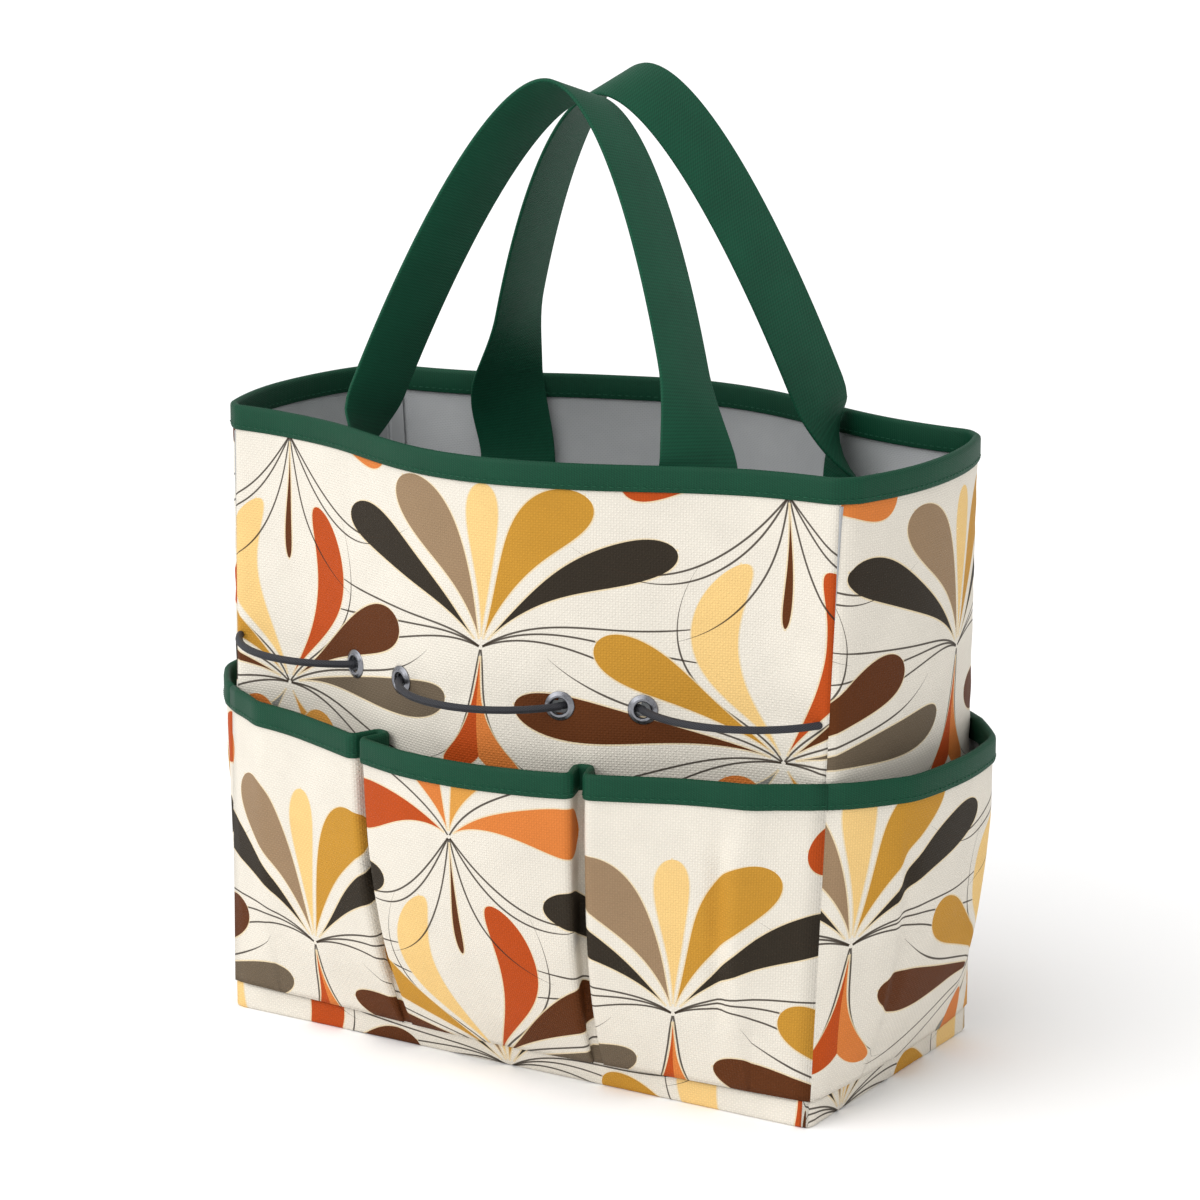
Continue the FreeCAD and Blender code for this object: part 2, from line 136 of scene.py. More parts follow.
def corner_radius(z):
    return mix(FLOOR_CORNER_RADIUS, RIM_CORNER_RADIUS, z / BODY_HEIGHT)


def seam_path(side, z):
    """Length of cloth from the wall's middle to its corner seam, without the bow."""
    radius = corner_radius(z)
    return half_span(side, z) - radius + radius * math.pi / 4


def wall(side, path, z, offset=0.0):
    """Point and level outward normal of a wall; path is the way along the cloth from its middle."""
    half = half_span(side, z)
    radius = corner_radius(z)
    straight = half - radius
    sign = 1 if path >= 0 else -1
    turn = max(0.0, abs(path) - straight) / radius
    along = sign * (min(abs(path), straight) + radius * math.sin(turn))
    inward = radius * (1 - math.cos(turn))
    s = along / half
    swelling = 1 - math.exp(-z / SWELL_HEIGHT)
    if is_long(side):
        bulge = FRONT_BULGE * swelling
        room = max(0.0, 1 - s * s)
        bow = bulge * room ** FRONT_BULGE_POWER
        slope = -bulge * FRONT_BULGE_POWER * room ** (FRONT_BULGE_POWER - 1) * 2 * s / half
    else:
        bulge = END_BULGE * swelling
        fade = 1 - smooth(turn / (math.pi / 4))
        bow = bulge * (1 - s * s) * fade
        slope = -bulge * 2 * s / half * fade
    direction = -math.atan(slope) + sign * turn
    out = half_depth(side, z) + bow - inward
    turns = {"front": 0, "right": 1, "back": 2, "left": 3}[side]
    point = Vector((along, -out, z))
    normal = Vector((math.sin(direction), -math.cos(direction), 0))
    point += normal * offset
    spin = Matrix.Rotation(turns * math.pi / 2, 3, "Z")
    return spin @ point, spin @ normal


def spread(start, end, spacing):
    """Evenly spaced values from start to end, both included."""
    count = max(1, round(abs(end - start) / spacing))
    return [mix(start, end, i / count) for i in range(count + 1)]


def ripple(point, scale, seed):
    return noise.noise(point / scale + Vector((seed, seed * 1.7, -seed)))


# ---- meshes ---------------------------------------------------------------
def new_object(name, vertices, faces, materials, uvs=None, smooth_shading=True):
    mesh = bpy.data.meshes.new(name)
    mesh.from_pydata([tuple(v) for v in vertices], [], faces)
    if uvs:
        layer = mesh.uv_layers.new(name=UV_NAME)
        for loop in mesh.loops:
            layer.data[loop.index].uv = uvs[loop.vertex_index]
    for material in materials:
        mesh.materials.append(material)
    mesh.polygons.foreach_set("use_smooth", [smooth_shading] * len(mesh.polygons))
    mesh.update()
    piece = bpy.data.objects.new(name, mesh)
    bpy.context.scene.collection.objects.link(piece)
    return piece


def grid_faces(rows, columns, closed=False, skip=()):
    faces = []
    for r in range(rows - 1):
        for c in range(columns if closed else columns - 1):
            if (r, c) not in skip:
                d = (c + 1) % columns
                faces.append((r * columns + c, r * columns + d,
                              (r + 1) * columns + d, (r + 1) * columns + c))
    return faces


def cloth(name, rows, uv_rows, outside, inside, thickness, skip=(), folded=False):
    """Sheet with an outer and an inner material; rows run upwards and points anticlockwise.

    A folded sheet keeps its thickness uneven, which avoids spikes at its sharp pleats.
    """
    vertices = [point for row in rows for point in row]
    uvs = [uv for row in uv_rows for uv in row]
    faces = grid_faces(len(rows), len(rows[0]), skip=skip)
    piece = new_object(name, vertices, faces, [outside, inside], uvs)
    solid = piece.modifiers.new("thickness", "SOLIDIFY")
    solid.thickness = thickness
    solid.offset = -1
    solid.use_even_offset = not folded
    solid.material_offset = 1
    solid.material_offset_rim = 0
    return piece


def sweep(name, stations, profile, materials, closed=False):
    """Closed profile carried along stations of (centre, sideways, upwards)."""
    vertices = []
    uvs = []
    girth = [0.0]
    for a, b in zip(profile, profile[1:]):
        girth.append(girth[-1] + math.dist(a, b))
    travelled = 0.0
    before = stations[0][0]
    for centre, sideways, upwards in stations:
        travelled += (centre - before).length
        before = centre
        for (across, up), around in zip(profile, girth):
            vertices.append(centre + sideways * across + upwards * up)
            uvs.append((travelled / PRINT_UNIT, around / PRINT_UNIT))
    count = len(profile)
    total = len(stations)
    faces = []
    for r in range(total if closed else total - 1):
        n = (r + 1) % total
        for c in range(count):
            d = (c + 1) % count
            faces.append((r * count + c, n * count + c, n * count + d, r * count + d))
    if not closed:
        faces.append(tuple(range(count)))
        faces.append(tuple(reversed(range((total - 1) * count, total * count))))
    return new_object(name, vertices, faces, materials, uvs)


def rounded_bar(width, height, radius, steps=3):
    """Rounded rectangle as a closed profile of (across, up), for sweep."""
    points = []
    for corner, (sx, sy) in enumerate(((1, 1), (-1, 1), (-1, -1), (1, -1))):
        for i in range(steps + 1):
            angle = math.pi / 2 * (corner + i / steps)
            points.append((sx * (width / 2 - radius) + radius * math.cos(angle),
                           sy * (height / 2 - radius) + radius * math.sin(angle)))
    return points


STITCH_LENGTH = 0.0027
STITCH_PITCH = 0.0037
THREAD_RADIUS = 0.0003
STITCH_RING = 6


def stitches(name, runs, material):
    """Rows of thread stitches; each run is a list of (point, normal) along the seam."""
    vertices = []
    faces = []
    sections = ((-0.5, 0.25, -0.9), (-0.36, 0.85, 0.1), (0.0, 1.0, 0.35), (0.36, 0.85, 0.1),
                (0.5, 0.25, -0.9))
    for run in runs:
        travelled = 0.0
        due = STITCH_PITCH / 2
        for (a, normal), (b, other) in zip(run, run[1:]):
            step = (b - a).length
            if step < 1e-7:
                continue
            along = (b - a) / step
            while due <= travelled + step:
                share = (due - travelled) / step
                centre = a.lerp(b, share)
                up = normal.lerp(other, share).normalized()
                side = up.cross(along).normalized()
                first = len(vertices)
                for position, girth, lift in sections:
                    middle = centre + along * position * STITCH_LENGTH + up * lift * THREAD_RADIUS
                    for i in range(STITCH_RING):
                        angle = 2 * math.pi * i / STITCH_RING
                        vertices.append(middle + (side * math.cos(angle) + up * math.sin(angle))
                                        * THREAD_RADIUS * girth)
                for r in range(len(sections) - 1):
                    for i in range(STITCH_RING):
                        j = (i + 1) % STITCH_RING
                        low = first + r * STITCH_RING
                        high = low + STITCH_RING
                        faces.append((low + i, low + j, high + j, high + i))
                faces.append(tuple(first + i for i in reversed(range(STITCH_RING))))
                last = first + (len(sections) - 1) * STITCH_RING
                faces.append(tuple(last + i for i in range(STITCH_RING)))
                due += STITCH_PITCH
            travelled += step
    return new_object(name, vertices, faces, [material])


def keep(piece, body, slot, *nodes):
    """The piece rides on a body and stands for CAD nodes, whose parts are hidden; slot is not used."""
    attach(piece, body)
    if nodes:
        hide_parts(*nodes)


# ---- materials --------------------------------------------------------------
def colour(code):
    """Linear colour of an sRGB hex code."""
    channels = [int(code[i:i + 2], 16) / 255 for i in (0, 2, 4)]
    return tuple(c / 12.92 if c <= 0.04045 else ((c + 0.055) / 1.055) ** 2.4
                 for c in channels) + (1.0,)


class Field:
    """A number in a node tree that can be used in sums."""

    def __init__(self, tree, socket):
        self.tree = tree
        self.socket = socket

    def op(self, kind, *others):
        node = self.tree.nodes.new("ShaderNodeMath")
        node.operation = kind
        for index, value in enumerate((self,) + others):
            if isinstance(value, Field):
                self.tree.links.new(value.socket, node.inputs[index])
            else:
                node.inputs[index].default_value = value
        return Field(self.tree, node.outputs[0])

    def __add__(self, other):
        return self.op("ADD", other)

    def __sub__(self, other):
        return self.op("SUBTRACT", other)

    def __mul__(self, other):
        return self.op("MULTIPLY", other)

    def __truediv__(self, other):
        return self.op("DIVIDE", other)

    def clamp(self):
        node = self.tree.nodes.new("ShaderNodeClamp")
        self.tree.links.new(self.socket, node.inputs["Value"])
        return Field(self.tree, node.outputs[0])


def mixed(tree, share, first, second):
    """Colour between first and second; each is a socket or a constant colour."""
    node = tree.nodes.new("ShaderNodeMix")
    node.data_type = "RGBA"
    for socket, value in ((node.inputs["Factor"], share), (node.inputs[6], first),
                          (node.inputs[7], second)):
        if isinstance(value, Field):
            tree.links.new(value.socket, socket)
        elif isinstance(value, bpy.types.NodeSocket):
            tree.links.new(value, socket)
        else:
            socket.default_value = value
    return node.outputs[2]


def shaded(tree, tint, strength):
    """The same colour, darker."""
    node = tree.nodes.new("ShaderNodeHueSaturation")
    node.inputs["Value"].default_value = strength
    tree.links.new(tint, node.inputs["Color"])
    return node.outputs["Color"]


def new_material(name, roughness, metallic=0.0):
    material = bpy.data.materials.new(name)
    material.use_nodes = True
    tree = material.node_tree
    shader = tree.nodes["Principled BSDF"]
    shader.inputs["Roughness"].default_value = roughness
    shader.inputs["Metallic"].default_value = metallic
    shader.inputs["Specular IOR Level"].default_value = 0.2
    return material, tree, shader


def cloth_coordinates(tree):
    """The cloth's own coordinates in metres: along and up."""
    uv = tree.nodes.new("ShaderNodeUVMap")
    uv.uv_map = UV_NAME
    split = tree.nodes.new("ShaderNodeSeparateXYZ")
    tree.links.new(uv.outputs["UV"], split.inputs[0])
    return (Field(tree, split.outputs["X"]) * PRINT_UNIT, Field(tree, split.outputs["Y"]) * PRINT_UNIT)


def noise_field(tree, x, y, scale, detail=2.0):
    """Noise over the cloth; scale is in features per metre."""
    join = tree.nodes.new("ShaderNodeCombineXYZ")
    tree.links.new(x.socket, join.inputs["X"])
    tree.links.new(y.socket, join.inputs["Y"])
    texture = tree.nodes.new("ShaderNodeTexNoise")
    texture.inputs["Scale"].default_value = scale
    texture.inputs["Detail"].default_value = detail
    tree.links.new(join.outputs[0], texture.inputs["Vector"])
    return Field(tree, texture.outputs["Fac"])


def add_bump(tree, shader, height, distance, strength=1.0):
    bump = tree.nodes.new("ShaderNodeBump")
    bump.inputs["Distance"].default_value = distance
    bump.inputs["Strength"].default_value = strength
    tree.links.new(height.socket, bump.inputs["Height"])
    tree.links.new(bump.outputs["Normal"], shader.inputs["Normal"])


def weave_height(x, y, pitch):
    """Plain weave: threads over and under, 0 to 1."""
    a = (x * (math.pi / pitch)).op("SINE")
    b = (y * (math.pi / pitch)).op("SINE")
    return (a * b).op("ABSOLUTE") + (a * b) * 0.5


# The print: three motifs of teardrop leaves that spring from a point, repeated over the cloth.
CREAM = colour("e9e2d5")
BLACK_BROWN = colour("2f271c")
DARK_BROWN = colour("5c2d05")
TAUPE = colour("9b8062")
UMBER = colour("6a5c4a")
GREY = colour("8e8d86")
MUSTARD = colour("c58f2f")
AMBER = colour("dd9c46")
PALE_YELLOW = colour("f2cb84")
ORANGE = colour("dc7f39")
RUST = colour("bb4a0d")
HALO = colour("e9d3a8")
HAIRLINE = colour("33281c")

TILE_WIDTH = 0.270
TILE_HEIGHT = 0.190

# Leaves: (degrees from upright at the base, turn at the tip, swing halfway, start, tip,
# half width in millimetres, colour on the right, colour on the left)
FAN = (
    (176, -14, 12, 4, 62, 8.5, ORANGE, RUST),
    (40, 20, 0, 5, 100, 10.0, BLACK_BROWN, BLACK_BROWN),
    (14, 19, 0, 4, 88, 13.5, MUSTARD, TAUPE),
    (0, 0, 0, 5, 76, 9.0, PALE_YELLOW, PALE_YELLOW),
)
LYRE = (
    (70, 10, 4, 6, 118, 9.5, UMBER, DARK_BROWN),
    (47, 11, 2, 6, 98, 11.5, DARK_BROWN, MUSTARD),
    (21, -7, 14, 4, 92, 12.5, RUST, PALE_YELLOW),
    (150, -22, 0, 4, 46, 7.0, AMBER, GREY),
)
WINGS = (
    (50, 34, 6, 3, 74, 13.5, ORANGE, RUST),
    (9, 14, 4, 3, 64, 12.5, AMBER, ORANGE),
    (180, 0, 0, 3, 58, 2.2, DARK_BROWN, DARK_BROWN),
)
# Hairlines: (degrees from upright at the base, turn at the end, swing halfway, start, end)
FAN_LINES = ((56, 24, 9, 1, 112), (60, 30, 10, 1, 118), (66, 34, 10, 1, 108),
             (168, -22, 12, 1, 72))
LYRE_LINES = ((57, 11, 8, 1, 112), (84, 14, 6, 1, 116), (90, 18, 6, 1, 108),
              (31, -8, 20, 1, 98))
WING_LINES = ((140, -34, 8, 1, 96), (148, -38, 10, 1, 90), (168, -24, 6, 1, 84),
              (32, 24, 4, 1, 72))
# Motifs: place in the tile as shares of its width and height, leaves, hairlines
MOTIFS = ((0.0, 0.0, FAN, FAN_LINES), (0.5, -0.24, LYRE, LYRE_LINES), (0.5, 0.40, WINGS, WING_LINES))
LOW_SHARE = 0.37               # of the tile that lies below a motif's base
LINE_HALF_WIDTH = 0.00044
INK_EDGE = 0.00022


def off_curve(radius, angle, base, turn, swing, tip):
    """Distance from a curve that leaves the motif's base and turns as it goes out."""
    share = (radius / tip).clamp()
    bow = share * (share * -1.0 + 1.0) * (4 * math.radians(swing))
    curve = share * math.radians(turn) + bow + math.radians(base)
    return (angle - curve).op("ABSOLUTE") * radius


def paint_motif(ground, x, y, leaves, lines):
    """Paints one motif, base at x=0 y=0, over the ground colour."""
    tree = x.tree
    radius = (x * x + y * y).op("SQRT")
    angle = x.op("ABSOLUTE").op("ARCTAN2", y)
    right = x.op("GREATER_THAN", 0.0)
    painted = ground
    for base, turn, swing, start, end in lines:
        near = off_curve(radius, angle, base, turn, swing, end / 1000)
        taper = ((radius * -1.0 + end / 1000) / 0.03).clamp() * LINE_HALF_WIDTH + 0.00004
        line = ((taper - near) / INK_EDGE + 0.5).clamp()
        line = line * radius.op("GREATER_THAN", start / 1000) * radius.op("LESS_THAN", end / 1000)
        painted = mixed(tree, line * 0.92, painted, HAIRLINE)
    for base, turn, swing, start, tip, half, right_colour, left_colour in leaves:
        near = off_curve(radius, angle, base, turn, swing, tip / 1000)
        share = ((radius - start / 1000) / ((tip - start) / 1000)).clamp()
        round_end = (share.op("POWER", 4.0) * -1.0 + 1.0).op("SQRT")
        inside = share.op("POWER", 1.45) * round_end * (half / 1000 * 1.77) - near
        halo = ((inside + 0.0008) / (INK_EDGE * 2)).clamp() * 0.8
        reach = radius.op("LESS_THAN", (tip + 0.8) / 1000) * radius.op("GREATER_THAN", start / 1000)
        painted = mixed(tree, halo * reach, painted, HALO)
        ink = right_colour
        if right_colour != left_colour:
            ink = mixed(tree, right, left_colour, right_colour)
        painted = mixed(tree, (inside / INK_EDGE).clamp(), painted, ink)
    return painted


def canvas_material():
    material, tree, shader = new_material("printed_canvas", 0.7)
    x, y = cloth_coordinates(tree)
    px = x + (noise_field(tree, x, y, 14.0, 0.0) - 0.5) * 0.010
    py = y + (noise_field(tree, y, x, 13.0, 0.0) - 0.5) * 0.010
    painted = CREAM
    for across, up, leaves, lines in MOTIFS:
        mx = (px + TILE_WIDTH * (0.5 - across)).op("FLOORED_MODULO", TILE_WIDTH)
        my = (py + TILE_HEIGHT * (LOW_SHARE - up)).op("FLOORED_MODULO", TILE_HEIGHT)
        painted = paint_motif(painted, mx - TILE_WIDTH / 2, my - TILE_HEIGHT * LOW_SHARE, leaves, lines)
    wash = noise_field(tree, x, y, 45.0, 4.0)
    washed = mixed(tree, ((wash - 0.35) * 2.0).clamp(), painted, shaded(tree, painted, 0.92))
    weave = weave_height(x, y, 0.0012)
    # Painted shade: the cloth is darkened in the hollows between the weave's threads, where the bump
    # height is low.
    with_weave_shade = mixed(tree, (weave * -0.5 + 0.5).clamp(), washed, shaded(tree, washed, 0.72))
    tree.links.new(with_weave_shade, shader.inputs["Base Color"])
    add_bump(tree, shader, weave, 0.0002, 0.8)
    return material


def lining_material():
    material, tree, shader = new_material("lining_cloth", 0.55)
    x, y = cloth_coordinates(tree)
    weave = weave_height(x, y, 0.0009)
    cloudy = noise_field(tree, x, y, 35.0, 3.0)
    tint = mixed(tree, cloudy, colour("aeb0b2"), colour("c3c4c5"))
    tree.links.new(mixed(tree, weave * 0.2, tint, colour("8f9194")), shader.inputs["Base Color"])
    add_bump(tree, shader, weave, 0.00014, 0.6)
    return material


def ribbed_material(name, dark_tone_and_groove_shade, light, pitch, roughness, slant):
    """Woven tape or webbing: ribs across the run and a slanted twill, with painted shade in the grooves
    between them and a random cloudy tone.
    """
    material, tree, shader = new_material(name, roughness)
    x, y = cloth_coordinates(tree)
    ribs = (x * (2 * math.pi / pitch)).op("SINE") * 0.5 + 0.5
    twill = ((x * slant + y) * (2 * math.pi / (pitch * 0.9))).op("SINE") * 0.5 + 0.5
    fuzz = noise_field(tree, x, y, 900.0, 3.0)
    cloudy = noise_field(tree, x, y, 45.0, 3.0)
    height = ribs * 0.45 + twill * 0.55 + fuzz * 0.25
    # Painted shade: the colour goes to the darker end in the grooves of ribs and twill and to the lighter
    # end on their crowns; the cloudy noise adds random tone.
    tint = mixed(tree, (height * 0.5 + cloudy * 0.4).clamp(), dark_tone_and_groove_shade, light)
    tree.links.new(tint, shader.inputs["Base Color"])
    add_bump(tree, shader, height, 0.00022, 0.7)
    return material


def thread_material():
    material, tree, shader = new_material("green_thread", 0.55)
    place = tree.nodes.new("ShaderNodeTexCoord")
    texture = tree.nodes.new("ShaderNodeTexNoise")
    texture.inputs["Scale"].default_value = 700.0
    tree.links.new(place.outputs["Object"], texture.inputs["Vector"])
    tint = mixed(tree, Field(tree, texture.outputs["Fac"]), colour("0a3a28"), colour("1c5a40"))
    tree.links.new(tint, shader.inputs["Base Color"])
    return material


def eyelet_material():
    material, tree, shader = new_material("gunmetal", 0.28, metallic=1.0)
    place = tree.nodes.new("ShaderNodeTexCoord")
    texture = tree.nodes.new("ShaderNodeTexNoise")
    texture.inputs["Scale"].default_value = 900.0
    tree.links.new(place.outputs["Object"], texture.inputs["Vector"])
    grain = Field(tree, texture.outputs["Fac"])
    tint = mixed(tree, grain, colour("6b6c72"), colour("96979c"))
    tree.links.new(tint, shader.inputs["Base Color"])
    rough = grain * 0.2 + 0.2
    tree.links.new(rough.socket, shader.inputs["Roughness"])
    add_bump(tree, shader, grain, 0.00003, 0.4)
    return material


def cord_material():
    material, tree, shader = new_material("elastic_braid", 0.6)
    x, y = cloth_coordinates(tree)
    braid_a = ((x + y * 1.6) * (2 * math.pi / 0.0016)).op("SINE")
    braid_b = ((x - y * 1.6) * (2 * math.pi / 0.0016)).op("SINE")
    height = braid_a.op("MAXIMUM", braid_b) * 0.5 + 0.5
    # Painted shade: the braid is darker in the grooves between its strands and lighter on their crowns.
    tint = mixed(tree, height, colour("121316"), colour("3c3d42"))
    tree.links.new(tint, shader.inputs["Base Color"])
    add_bump(tree, shader, height, 0.0002, 0.8)
    return material


def floor_material():
    material, tree, shader = new_material("pale_floor", 0.9)
    place = tree.nodes.new("ShaderNodeTexCoord")
    texture = tree.nodes.new("ShaderNodeTexNoise")
    texture.inputs["Scale"].default_value = 3.0
    tree.links.new(place.outputs["Object"], texture.inputs["Vector"])
    tint = mixed(tree, Field(tree, texture.outputs["Fac"]), colour("fbfbfb"), colour("ffffff"))
    tree.links.new(tint, shader.inputs["Base Color"])
    return material


def board_material():
    material, tree, shader = new_material("grey_board", 0.6)
    place = tree.nodes.new("ShaderNodeTexCoord")
    texture = tree.nodes.new("ShaderNodeTexNoise")
    texture.inputs["Scale"].default_value = 260.0
    tree.links.new(place.outputs["Object"], texture.inputs["Vector"])
    grain = Field(tree, texture.outputs["Fac"])
    tree.links.new(mixed(tree, grain, colour("35363a"), colour("4c4d52")), shader.inputs["Base Color"])
    add_bump(tree, shader, grain, 0.0001, 0.5)
    return material


CANVAS_MATERIAL = canvas_material()
BOARD_MATERIAL = board_material()
LINING_MATERIAL = lining_material()
TAPE_MATERIAL = ribbed_material("binding_tape", colour("02301f"), colour("0c4c34"), 0.0012, 0.6, 0.5)
WEBBING_MATERIAL = ribbed_material("green_webbing", colour("03301f"), colour("0d563c"), 0.0016,
                                   0.62, 1.0)
SEAM_MATERIAL = ribbed_material("seam_tape", colour("8c8e90"), colour("b4b5b6"), 0.0012, 0.7, 0.5)
THREAD = thread_material()
METAL = eyelet_material()
CORD = cord_material()


# ---- walls ------------------------------------------------------------------
WALL_FOOT = 0.0022
WALL_TOP = BODY_HEIGHT - 0.0016
WALL_HOLE_RADIUS = 0.0043      # mesh faces nearer to an eyelet's middle than this are left out
# Where a fan springs on each wall: (path, height)
FAN_ON_WALL = {"front": (0.006, 0.212), "right": (0.026, 0.206), "back": (0.09, 0.180),
               "left": (0.0, 0.130)}


def creases(side, path, z, seed):
    """How far the cloth stands off its smooth shape: slow waves, and puckers at the seams."""
    point = Vector((path, 0.0, z))
    wave = ripple(point, 0.075, seed) * 0.0011 + ripple(point, 0.03, seed + 5) * 0.00035
    from_seam = seam_path(side, z) - abs(path)
    calm = smooth(from_seam / 0.018) * smooth((BODY_HEIGHT - z) / 0.03)
    pucker = math.sin(z * 330 + ripple(point, 0.05, seed + 9) * 6) * 0.00022
    return wave * calm + pucker * smooth(1 - from_seam / 0.014) * smooth(from_seam / 0.002)


def wall_piece(side, seed):
    rows = []
    uv_rows = []
    skip = set()
    fan_x, fan_z = FAN_ON_WALL[side]
    heights = spread(WALL_FOOT, WALL_TOP, GRID)
    count = round(2 * seam_path(side, BODY_HEIGHT) / GRID)
    holes = []
    if is_long(side):
        half = half_span(side, CORD_HEIGHT)
        holes = [x for x in EYELET_X if abs(x) < half]
    for r, z in enumerate(heights):
        end = seam_path(side, z)
        row = []
        uv_row = []
        for c in range(count + 1):
            path = mix(-end, end, c / count)
            row.append(wall(side, path, z, creases(side, path, z, seed))[0])
            uv_row.append(((path - fan_x) / PRINT_UNIT, (z - fan_z) / PRINT_UNIT))
            middle_path = path + end / count
            middle_z = z + GRID / 2
            if any(math.hypot(middle_path - x, middle_z - CORD_HEIGHT) < WALL_HOLE_RADIUS for x in holes):
                skip.add((r, c))
        rows.append(row)
        uv_rows.append(uv_row)
    return cloth(side + "_wall", rows, uv_rows, CANVAS_MATERIAL, LINING_MATERIAL, CANVAS, skip)


for index, side in enumerate(SIDES):
    node = side + "_panel" if is_long(side) else side + "_side_panel"
    keep(wall_piece(side, 3.1 + index), "bag", "printed_canvas", node)


# ---- bottom -----------------------------------------------------------------
BAND_OFFSET = 0.0018
FOOT_RADIUS = 0.0016


def bottom_piece():
    """The bottom cloth: a flat floor whose edge turns up outside the walls."""
    rows = []
    uv_rows = []
    levels = [(0.0, BAND_OFFSET - FOOT_RADIUS - inset) for inset in (0.07, 0.045, 0.02, 0.008, 0.0)]
    for i in range(1, 5):
        angle = math.pi / 2 * i / 4
        levels.append((FOOT_RADIUS * (1 - math.cos(angle)),
                       BAND_OFFSET - FOOT_RADIUS + FOOT_RADIUS * math.sin(angle)))
    for z in spread(FOOT_RADIUS + 0.002, BAND_TOP, 0.0025):
        levels.append((z, BAND_OFFSET))
    travelled = -0.07
    for index, (z, offset) in enumerate(levels):
        row = []
        uv_row = []
        around = 0.0
        for side in SIDES:
            end = seam_path(side, z)
            count = round(2 * seam_path(side, 0) / GRID)
            for c in range(count):
                path = mix(-end, end, c / count)
                if offset < -0.001:
                    point, normal = wall(side, path * (1 + offset / half_span(side, z)), z)
                    point.x *= 1 + offset / BASE_HALF_LENGTH
                    point.y *= 1 + offset / BASE_HALF_WIDTH
                else:
                    point, normal = wall(side, path, z, offset)
                wave = ripple(Vector((around, 0, z)), 0.05, 8.0) * 0.0005 * smooth(z / BAND_TOP)
                row.append(point + normal * wave)
                uv_row.append(((around + path) / PRINT_UNIT, travelled / PRINT_UNIT))
            around += 2 * seam_path(side, 0)
        rows.append(row)
        uv_rows.append(uv_row)
        if index + 1 < len(levels):
            travelled += math.dist(levels[index], levels[index + 1])
    columns = len(rows[0])
    vertices = [p for row in rows for p in row]
    uvs = [uv for row in uv_rows for uv in row]
    faces = grid_faces(len(rows), columns, closed=True)
    vertices.append(Vector((0, 0, 0)))
    uvs.append((0, -1))
    for c in range(columns):
        faces.append((len(vertices) - 1, (c + 1) % columns, c))
    piece = new_object("bottom_cloth", vertices, faces, [CANVAS_MATERIAL, LINING_MATERIAL], uvs)
    solid = piece.modifiers.new("thickness", "SOLIDIFY")
    solid.thickness = CANVAS
    solid.offset = -1
    solid.material_offset = 1
    return piece


keep(bottom_piece(), "bag", "printed_canvas", "bottom_panel")


def lining_piece():
    rows = []
    uv_rows = []
    for y in spread(-BASE_HALF_WIDTH + 0.005, BASE_HALF_WIDTH - 0.005, 0.006):
        row = []
        uv_row = []
        for x in spread(-BASE_HALF_LENGTH + 0.005, BASE_HALF_LENGTH - 0.005, 0.006):
            edge = min(BASE_HALF_LENGTH - abs(x), BASE_HALF_WIDTH - abs(y))
            lift = 0.0008 * ripple(Vector((x, y, 0)), 0.05, 4.0) * smooth(edge / 0.02)
            row.append(Vector((x, y, LINING_TOP + 0.0006 + lift)))
            uv_row.append((x / PRINT_UNIT, y / PRINT_UNIT))
        rows.append(row)
        uv_rows.append(uv_row)
    return cloth("floor_lining", rows, uv_rows, LINING_MATERIAL, LINING_MATERIAL, 0.0008)


keep(lining_piece(), "bag", "lining", "bottom_lining")

for node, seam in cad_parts.items():
    if "tape" in node and "pocket" not in node:
        seam.data.materials.clear()
        seam.data.materials.append(SEAM_MATERIAL)


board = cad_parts["base_board"]
board.data.materials.clear()
board.data.materials.append(BOARD_MATERIAL)


# ---- bindings ----------------------------------------------------------------
def binding_profile(foot, top, cloth_outside, cloth_inside):
    """Section of tape folded over an edge: (offset, height), with a soft fold at the top."""
    out = cloth_outside + TAPE
    back = cloth_inside - TAPE
    middle = (out + back) / 2
    half = (out - back) / 2
    fold = 0.0022
    points = [(out - 0.0002, foot), (out, foot + 0.0006)]
    for i in range(7):
        angle = math.pi * i / 6
        points.append((middle + half * math.cos(angle), top - fold + fold * math.sin(angle)))
    points += [(back, foot + 0.0006), (back + 0.0002, foot), (cloth_inside, foot),
               (cloth_inside, top - fold), (cloth_outside, top - fold), (cloth_outside, foot)]
    return points


def rim_stations():
    stations = []
    for side in SIDES:
        end = seam_path(side, BODY_HEIGHT)
        for path in spread(-end, end, GRID)[:-1]:
            point, normal = wall(side, path, BODY_HEIGHT)
            sag = ripple(point, 0.06, 2.0) * 0.0006
            stations.append((Vector((point.x, point.y, sag)), normal, Vector((0, 0, 1))))
    return stations


RIM = rim_stations()
rim = sweep("rim_tape", RIM, binding_profile(BINDING_FOOT, BODY_HEIGHT, 0.0002, -CANVAS - 0.0002),
            [TAPE_MATERIAL], closed=True)
keep(rim, "bag", "binding_tape", "rim_binding")

STITCH_RISE = 0.0020
rim_runs = []
for offset, direction in ((TAPE + 0.0002, 1), (-CANVAS - 0.0002 - TAPE, -1)):
    lift = Vector((0, 0, BINDING_FOOT + STITCH_RISE))
    rim_runs.append([(c + n * offset + lift, n * direction) for c, n, up in RIM + RIM[:1]])
keep(stitches("rim_stitching", rim_runs, THREAD), "bag", "binding_tape")


